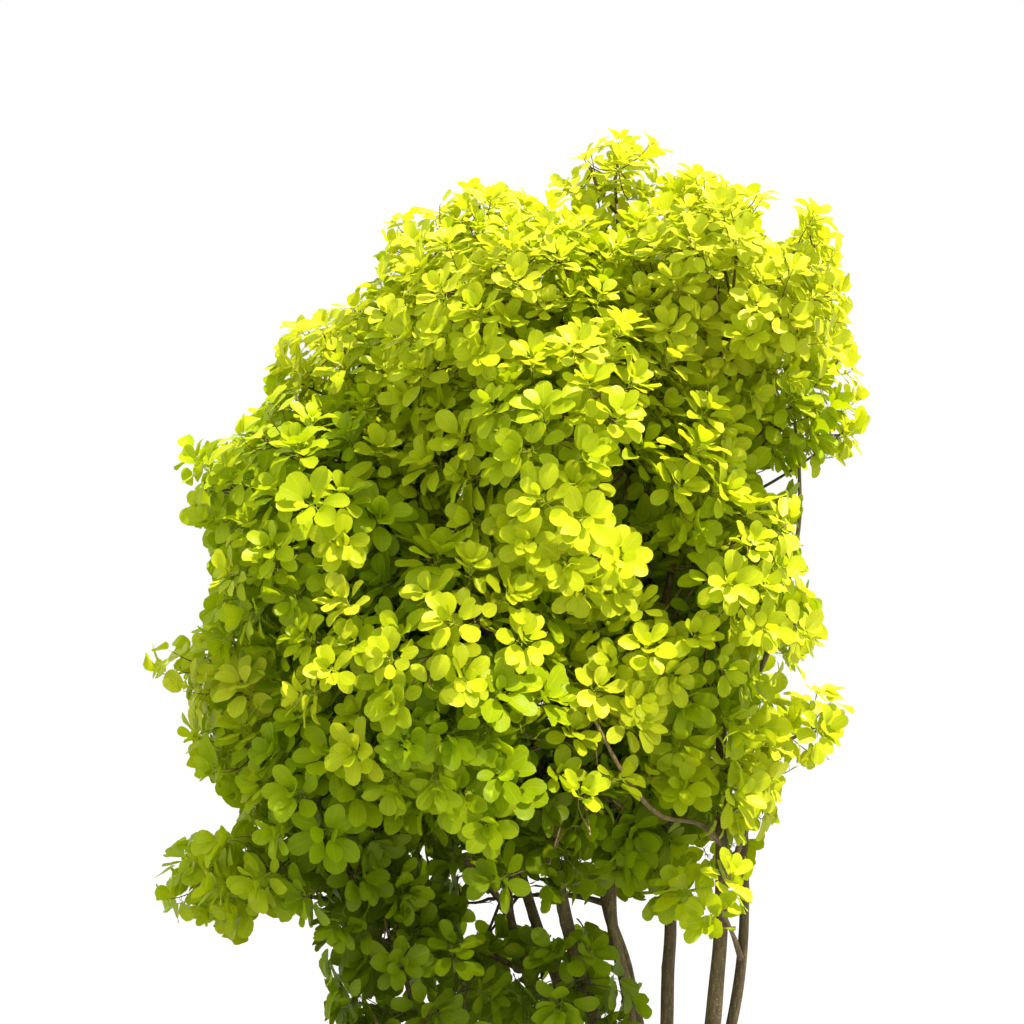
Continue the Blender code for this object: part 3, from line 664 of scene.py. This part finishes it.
def twigTubes(curves, rootRadius, tipRadius, sides, rings):
    # rings of points round each quadratic curve, the width falling evenly, closed by a fan at both ends
    roots, bends, tips = curves
    t = np.broadcast_to(np.linspace(0, 1, rings), (len(roots), rings))
    middle = bezier(curves, t)
    share = t[..., None]
    along = unitRows(2.0 * (1.0 - share) * (bends - roots)[:, None] + 2.0 * share * (tips - bends)[:, None])
    guide = np.eye(3)[np.abs(unitRows(tips - roots)).argmin(axis=1)][:, None]
    width = rootRadius + (tipRadius - rootRadius) * t
    points = ringsRound(middle, along, guide, width[..., None], sides)
    last = (rings - 1) * sides
    foot = [(0, here + 1, here) for here in range(1, sides - 1)]
    tip = [(last, last + here, last + here + 1) for here in range(1, sides - 1)]
    return points, repeated((np.array(foot + tip), ringQuads(rings, sides)), len(roots), rings * sides)


twigShape = {"carrier": (6, 5), "branch": (5, 7), "shoot": (3, 5)}  # points round each twig, and rings along it
twigParts = []
for grown in grownMasses.values():
    leafy = np.unique(grown["leaves"][4])  # a shoot that lost all its leaves isn't drawn
    shoots = [points[leafy] for points in grown["shoots"]]
    twigParts.append(twigTubes(grown["carrier"], grown["stemRadius"], growth["branchRadii"][0], *twigShape["carrier"]))
    twigParts.append(twigTubes(grown["branches"], *growth["branchRadii"], *twigShape["branch"]))
    twigParts.append(twigTubes(shoots, *growth["shootRadii"], *twigShape["shoot"]))
twigPiece = meshObject("twigs", *joined(twigParts))
print("twigs made")

leafShape = {
    "rows": (0.1, 0.32, 0.58, 0.82, 0.96), "across": (-1.0, 0.0, 1.0),
    "width": 0.33, "widthSpread": (0.88, 1.14),
    "fold": (0.02, 0.32), "cup": (-0.1, 0.25), "curl": (-0.3, 0.8), "leastCurl": 0.02,
    "wave": 0.03, "waves": 1.4, "phase": (0.0, fullTurn),
    "stalkLength": 0.4, "stalkRise": 0.25, "stalkRadius": 0.001,
}


def bladeWidth(v):
    # narrow at the foot, widest at six tenths, round at the end: v^0.6 (1 - v^1.9)^0.5, scaled to one
    return v ** 0.6 * np.maximum(1.0 - v ** 1.9, 0.0) ** 0.5 / 0.58


def leafArrays(roots, directions, normals, sizes, rng):
    # the blade is a grid: along it curls on an arc with a wavy margin, across it folds on the midrib and cups as the
    # square of the way out; the stalk is a slim spike
    count = len(roots)
    v = np.array(leafShape["rows"])[:, None]
    u = np.array(leafShape["across"])
    along = v + np.zeros_like(u)
    draws = (rng.uniform(*leafShape[kind], (count, 1, 1)) for kind in ("fold", "cup", "curl", "phase", "widthSpread"))
    fold, cup, curl, phase, wide = draws
    curl = np.where(np.abs(curl) < leafShape["leastCurl"], leafShape["leastCurl"], curl)
    x = np.sin(curl * along) / curl
    y = u * (bladeWidth(v) * leafShape["width"]) * wide
    z = -(1.0 - np.cos(curl * along)) / curl + fold * np.abs(y) + cup * y ** 2 / leafShape["width"]
    z = z + leafShape["wave"] * np.sin(fullTurn * leafShape["waves"] * along + phase) * u
    sides = np.cross(normals, directions)
    stalk = unitRows(directions + leafShape["stalkRise"] * normals)
    base = roots + stalk * (leafShape["stalkLength"] * sizes)[:, None]
    bent = sum(part[..., None] * way[:, None, None] for part, way in ((x, directions), (y, sides), (z, normals)))
    blade = base[:, None, None] + sizes[:, None, None, None] * bent
    curl = curl[:, :, 0]
    tip = base + sizes[:, None] * (np.sin(curl) / curl * directions - (1.0 - np.cos(curl)) / curl * normals)
    turns = (np.array((0.0, 2.0, 4.0)) * math.pi / 3.0)[:, None]
    ring = np.cos(turns) * sides[:, None] + np.sin(turns) * normals[:, None]
    spike = roots[:, None] + leafShape["stalkRadius"] * ring
    points = np.concatenate((blade.reshape(count, -1, 3), base[:, None], tip[:, None], spike), axis=1)
    columns, foot = u.size, u.size * v.size
    corner = np.arange(foot - columns).reshape(-1, columns)[:, :-1]
    quads = corner.reshape(-1, 1) + np.array((0, columns, columns + 1, 1))
    ends = [(foot, here, here + 1) for here in range(columns - 1)]
    ends += [(here + 1, here, foot + 1) for here in range(foot - columns, foot - 1)]
    ends += [(foot + 2 + here, foot + 2 + (here + 1) % 3, foot) for here in range(3)]
    faces = repeated((np.array(ends), quads), count, points.shape[1])
    place = np.stack(np.broadcast_arrays(0.5 + 0.5 * u, v), axis=-1).reshape(-1, 2)
    place = np.concatenate((place, ((0.5, 0.0), (0.5, 1.0), *3 * ((0.5, 0.0),))))
    return points.reshape(-1, 3), faces, np.tile(place, (count, 1))


# the tints run from lit to shaded copies of one golden leaf colour, painted light and shade, together with the leaves'
# own random spread of tone
tints = {  # name: base colour, colour of the light that comes through, record slot
    "lemon": ((0.57, 0.63, 0.026), (0.59, 0.64, 0.016), "foliage_gold"),
    "gold": ((0.51, 0.585, 0.012), (0.53, 0.61, 0.009), "foliage_gold"),
    "lime": ((0.425, 0.52, 0.006), (0.45, 0.55, 0.005), "foliage_lime"),
    "spring": ((0.355, 0.465, 0.004), (0.385, 0.5, 0.003), "foliage_lime"),
    "leaf": ((0.29, 0.405, 0.003), (0.31, 0.44, 0.002), "foliage_green"),
    "shade": ((0.24, 0.34, 0.002), (0.26, 0.38, 0.002), "foliage_green"),
    "deep": ((0.16, 0.23, 0.0015), (0.18, 0.26, 0.0015), "foliage_green"),
}

# painted light and shade: the rule steps a shoot's tint lighter where it faces the sun, stands high or in a proud lobe
# (there partly the yellower young growth), and darker deep under the skin and low in the crown
tintRule = {
    "start": 1.8, "lit": 1.1, "depth": 9.0, "low": 2.2, "high": 0.9, "proud": 1.3,
    "shootSpread": 0.45, "branchSpread": 0.35, "mostPerPiece": 7000,
    "ramps": {  # where each begins, and its width
        "low": (1.0, -0.3), "lowRight": (0.4, -0.5), "lowLeft": (-0.88, 0.2),
        "high": (1.65, 0.35), "right": (0.1, 0.15),
    },
    # each listed place is a patch of painted shade where its change is above nought, and of painted light where it is
    # below
    "places": (  # sideways place, height, reach, and how many tints darker the leaves are there
        (-0.47, 1.64, 0.21, -2.0), (0.08, 1.86, 0.17, -1.8), (-0.72, 1.55, 0.17, 1.5), (-0.74, 1.25, 0.17, 1.0),
        (-0.46, 1.04, 0.14, 1.5), (-1.0, 1.1, 0.16, -1.2),
    ),
}


def tintsOf(grown):
    # a shoot's tint holds painted shade and light: it is darker the deeper it lies under its mass's skin and low in
    # the crown,
    #  and lighter where it faces the sun, in a proud lobe (partly the yellower young growth) and high up; each listed
    #  place adds its own change by a bell curve, painted shade where darker and painted light where lighter, and only
    #  the random spread by shoot and branch is the leaves' own tone
    rng, places = grown["rng"], grown["shoots"][2]
    x, z = places[:, 0], places[:, 2]
    lit = outwardAt(places) @ unitRows(light["from"])
    depth = grown["radius"] - lengthOf(places - grown["centre"])

    def ramp(values, kind):
        # nought at its start, one past its width
        start, width = tintRule["ramps"][kind]
        return np.clip((values - start) / width, 0.0, 1.0)

    low = ramp(z, "low") * ramp(x, "lowRight") * ramp(x, "lowLeft")
    high, right = ramp(z, "high"), ramp(x, "right")
    shade = (tintRule["start"] - tintRule["lit"] * lit + tintRule["depth"] * depth + tintRule["low"] * low
             - tintRule["high"] * high - tintRule["proud"] * grown["isProud"]
             + rng.normal(0.0, tintRule["shootSpread"], len(lit)))
    for across, height, reach, change in tintRule["places"]:
        shade += change * np.exp(-((x - across) ** 2 + (z - height) ** 2) / reach ** 2)
    # the palest tints, painted light, are kept to the high and right side where the sun falls
    shade = np.maximum(shade, 1.0 - high - right)
    shade += rng.normal(0.0, tintRule["branchSpread"], len(grown["branches"][0]))[grown["branchOf"]]
    return np.clip(np.round(shade), 0, len(tints) - 1).astype(int)


leaves = [np.concatenate(values) for values in zip(*(grown["leaves"][:4] for grown in grownMasses.values()))]
leafTints = np.concatenate([tintsOf(grown)[grown["leaves"][4]] for grown in grownMasses.values()])
leafPieces = {}
leafRng = np.random.default_rng(growth["seed"] + 500)
for index, tint in enumerate(tints):
    mine = np.flatnonzero(leafTints == index)
    sheets = math.ceil(len(mine) / tintRule["mostPerPiece"])
    for sheet in range(sheets):
        part = mine[sheet * len(mine) // sheets:(sheet + 1) * len(mine) // sheets]
        piece = meshObject(f"leaves_{tint}_{sheet + 1}", *leafArrays(*(values[part] for values in leaves), leafRng))
        leafPieces[piece] = tint
        print("leaves made:", piece.name, len(part))


# materials
def setInputs(tree, node, inputs):
    # each input is set to a value, or linked where the value is another node's output
    for socket, value in inputs.items():
        if isinstance(value, bpy.types.NodeSocket):
            tree.links.new(value, node.inputs[socket])
        else:
            node.inputs[socket].default_value = value


def addNode(tree, kind, inputs, **settings):
    # gives the new node's outputs
    node = tree.nodes.new(kind)
    for key, value in settings.items():
        setattr(node, key, value)
    setInputs(tree, node, inputs)
    return node.outputs


def factorGroup(name, inputs):
    # a group with the named inputs, whose one output is a factor
    group = bpy.data.node_groups.new(name, "ShaderNodeTree")
    for socket, kind in inputs.items():
        group.interface.new_socket(socket, in_out="INPUT", socket_type=kind)
    group.interface.new_socket("Factor", in_out="OUTPUT", socket_type="NodeSocketFloat")
    return group, group.nodes.new("NodeGroupInput").outputs


mottleNoise = {"Detail": 4.0, "Roughness": 0.6}
mottleRange = {"From Min": 0.3, "From Max": 0.7}


def mottleGroup():
    # noise on Object coordinates turned into a soft factor, for small differences of colour and relief
    group, entry = factorGroup("mottle", {"Scale": "NodeSocketFloat", "Stretch": "NodeSocketVector"})
    place = addNode(group, "ShaderNodeTexCoord", {})["Object"]
    place = addNode(group, "ShaderNodeVectorMath", {0: place, 1: entry["Stretch"]}, operation="MULTIPLY")["Vector"]
    noise = addNode(group, "ShaderNodeTexNoise", {"Vector": place, "Scale": entry["Scale"], **mottleNoise})["Fac"]
    factor = addNode(group, "ShaderNodeMapRange", {"Value": noise, **mottleRange})["Result"]
    addNode(group, "NodeGroupOutput", {"Factor": factor})
    return group


veinShape = {"midrib": (-40.0, 1.3), "sideTurns": 56.5, "sideSlant": -30.0, "side": (3.0, -2.4)}


def veinGroup():
    # a midrib where the leaf's sideways place is near the middle, and side veins where the sine of nine turns along
    # the leaf, slanted by the distance from the midrib, is near its crest
    group = factorGroup("veins", {})[0]

    def worked(operation, *values):
        return addNode(group, "ShaderNodeMath", dict(enumerate(values)), operation=operation)["Value"]

    place = addNode(group, "ShaderNodeTexCoord", {})["UV"]
    split = addNode(group, "ShaderNodeSeparateXYZ", {"Vector": place})
    aside = worked("ABSOLUTE", worked("SUBTRACT", split["X"], 0.5))
    midrib = worked("MULTIPLY_ADD", aside, *veinShape["midrib"])
    along = worked("MULTIPLY", split["Y"], veinShape["sideTurns"])
    turn = worked("MULTIPLY_ADD", aside, veinShape["sideSlant"], along)
    sides = worked("MULTIPLY_ADD", worked("SINE", turn), *veinShape["side"])
    either = worked("MAXIMUM", worked("MAXIMUM", midrib, sides), 0.0)
    addNode(group, "NodeGroupOutput", {"Factor": worked("MINIMUM", either, 1.0)})
    return group


mottle, veins = mottleGroup(), veinGroup()


def newMaterial(name):
    material = bpy.data.materials.new(name)
    material.use_nodes = True
    tree = material.node_tree
    return material, tree, tree.nodes["Principled BSDF"]


def mottled(tree, scale, stretch=(1.0, 1.0, 1.0)):
    return addNode(tree, "ShaderNodeGroup", {"Scale": scale, "Stretch": stretch}, node_tree=mottle)["Factor"]


def toned(colour, share=1.0, extra=0.0):
    # a colour times a share, as the nodes take it
    return (*(share * value + extra for value in colour), 1.0)


def mixColour(tree, factor, first, second):
    return addNode(tree, "ShaderNodeMix", {0: factor, 6: first, 7: second}, data_type="RGBA")[2]


def mixShaders(tree, factor, first, second):
    return addNode(tree, "ShaderNodeMixShader", {0: factor, 1: first, 2: second})["Shader"]


def relief(tree, height, strength, distance):
    # the surface's own direction, tilted by the slope of the height
    return addNode(tree, "ShaderNodeBump", {"Height": height, "Strength": strength, "Distance": distance})["Normal"]


leafFinish = {
    "surface": {"Roughness": 0.4, "Specular IOR Level": 0.14}, "through": 0.42,
    "patches": 16.0, "darker": 0.84, "lighter": 1.1, "vein": (1.25, 0.02), "grain": 260.0, "relief": (0.25, 0.0006),
}


def leafMaterial(tint, colour, through):
    # the tint's colour in darker and lighter patches, paler on the veins, with a share of light that comes through
    material, tree, shader = newMaterial("leaf_" + tint)
    patch, grain = mottled(tree, leafFinish["patches"]), mottled(tree, leafFinish["grain"])
    vein = addNode(tree, "ShaderNodeGroup", {}, node_tree=veins)["Factor"]
    blade = mixColour(tree, patch, toned(colour, leafFinish["darker"]), toned(colour, leafFinish["lighter"]))
    setInputs(tree, shader, leafFinish["surface"])
    setInputs(tree, shader, {"Base Color": mixColour(tree, vein, blade, toned(colour, *leafFinish["vein"])),
                             "Normal": relief(tree, grain, *leafFinish["relief"])})
    glow = addNode(tree, "ShaderNodeBsdfTranslucent", {"Color": toned(through)})["BSDF"]
    surface = mixShaders(tree, leafFinish["through"], shader.outputs["BSDF"], glow)
    setInputs(tree, tree.nodes["Material Output"], {"Surface": surface})
    return material


barkFinish = {
    "bark": {"dark": (0.09, 0.063, 0.023), "light": (0.27, 0.208, 0.085), "roughness": 0.82},
    "young": {"dark": (0.125, 0.082, 0.03), "light": (0.33, 0.245, 0.1), "roughness": 0.62},
    "twig": {"dark": (0.12, 0.075, 0.025), "light": (0.28, 0.24, 0.06), "roughness": 0.55},
}
barkGrain = {
    "broad": (9.0, (1.0, 1.0, 0.35)), "fine": (190.0, (1.0, 1.0, 0.22)), "shade": 0.55, "relief": (0.7, 0.0012),
    "poreScale": 130.0, "pores": 1.5, "poreEdge": {"From Min": 0.1, "From Max": 0.22, "To Min": 0.65, "To Max": 0.0},
}


def barkMaterial(name, finish):
    # broad noise leads from the dark to the light colour, fine grain darkens it, and pores are lighter spots
    material, tree, shader = newMaterial(name)
    broad, fine = mottled(tree, *barkGrain["broad"]), mottled(tree, *barkGrain["fine"])
    ground = mixColour(tree, broad, toned(finish["dark"]), toned(finish["light"]))
    surface = mixColour(tree, fine, toned(finish["dark"], barkGrain["shade"]), ground)
    place = addNode(tree, "ShaderNodeTexCoord", {})["Object"]
    pores = addNode(tree, "ShaderNodeTexVoronoi", {"Vector": place, "Scale": barkGrain["poreScale"]})["Distance"]
    spots = addNode(tree, "ShaderNodeMapRange", {"Value": pores, **barkGrain["poreEdge"]})["Result"]
    setInputs(tree, shader, {
        "Base Color": mixColour(tree, spots, surface, toned(finish["light"], barkGrain["pores"])),
        "Roughness": finish["roughness"],
        "Normal": relief(tree, fine, *barkGrain["relief"]),
    })
    return material


barks = {key: barkMaterial(key + "_bark", finish) for key, finish in barkFinish.items()}
foliage = {tint: leafMaterial(tint, *colours) for tint, (*colours, slotName) in tints.items()}

# each piece's material, the nodes that it stands for and its slot in the record
dressed = {
    crownPiece: (barks["bark"], ["root_crown"], "bark"),
    stemPiece: (barks["bark"], stemNames, "bark"),
    boughPiece: (barks["young"], [name for name in boughNames if name not in sideLimbs], "young_bark"),
    twigPiece: (barks["twig"], masses, "young_bark"),
}
dressed |= {piece: (foliage[tint], masses, tints[tint][2]) for piece, tint in leafPieces.items()}
for piece, (material, standsFor, slotName) in dressed.items():
    piece.data.materials.append(material)
    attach(piece, "root")
    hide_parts(*standsFor)
print("pieces dressed:", len(dressed))

# floor, backdrop and light
studio = {  # the backdrop is seen, and the sky only lights the plant
    "half": 9.0, "floor": (0.27, 0.275, 0.3), "floorTone": 0.985, "floorScale": 0.8, "floorRoughness": 0.9,
    "backdrop": (1.0, 1.0, 1.0), "sky": (0.88, 0.93, 0.82), "strength": 1.34,
}

floorPoints = studio["half"] * np.array(((-1, -1, 0), (1, -1, 0), (1, 1, 0), (-1, 1, 0)))
floor = meshObject("floor", floorPoints, [np.array(((0, 1, 2, 3),))])
floorMaterial, tree, shader = newMaterial("pale_floor")
floorTone = mottled(tree, studio["floorScale"])
setInputs(tree, shader, {
    "Base Color": mixColour(tree, floorTone, toned(studio["floor"]), toned(studio["floor"], studio["floorTone"])),
    "Roughness": studio["floorRoughness"],
})
floor.data.materials.append(floorMaterial)

world = bpy.data.worlds.new("studio")
world.use_nodes = True
tree = world.node_tree
sky = tree.nodes["Background"]
setInputs(tree, sky, {"Color": toned(studio["sky"]), "Strength": studio["strength"]})
white = addNode(tree, "ShaderNodeBackground", {"Color": toned(studio["backdrop"])})["Background"]
seen = addNode(tree, "ShaderNodeLightPath", {})["Is Camera Ray"]
surface = mixShaders(tree, seen, sky.outputs["Background"], white)
setInputs(tree, tree.nodes["World Output"], {"Surface": surface})
scene.world = world

frontLight = {  # a soft lamp that lifts the leafy mass that stands out in front
    "at": (0.75, -2.4, 3.1), "towards": (-0.19, -0.6, 1.27),
    "power": 800.0, "cone": 11.0, "radius": 0.06,
}


def addLamp(name, kind, energy, back):
    # the lamp is turned so that back, the direction from what it lights to the lamp, is its own z axis
    lamp = bpy.data.objects.new(name, bpy.data.lights.new(name, kind))
    lamp.data.energy, lamp.data.color = energy, light["colour"]
    x, y, z = unitRows(back)
    lamp.rotation_euler = (math.acos(z), 0.0, math.atan2(y, x) + 0.5 * math.pi)
    scene.collection.objects.link(lamp)
    return lamp


spot = addLamp("front", "SPOT", frontLight["power"], np.subtract(frontLight["at"], frontLight["towards"]))
spot.location = frontLight["at"]
spot.data.spot_size = math.radians(frontLight["cone"])
spot.data.spot_blend = 1.0
spot.data.shadow_soft_size = frontLight["radius"]
sun = addLamp("key", "SUN", light["strength"], light["from"])
sun.data.angle = math.radians(light["angle"])
scene.view_settings.view_transform = "Standard"
print("light and floor placed")
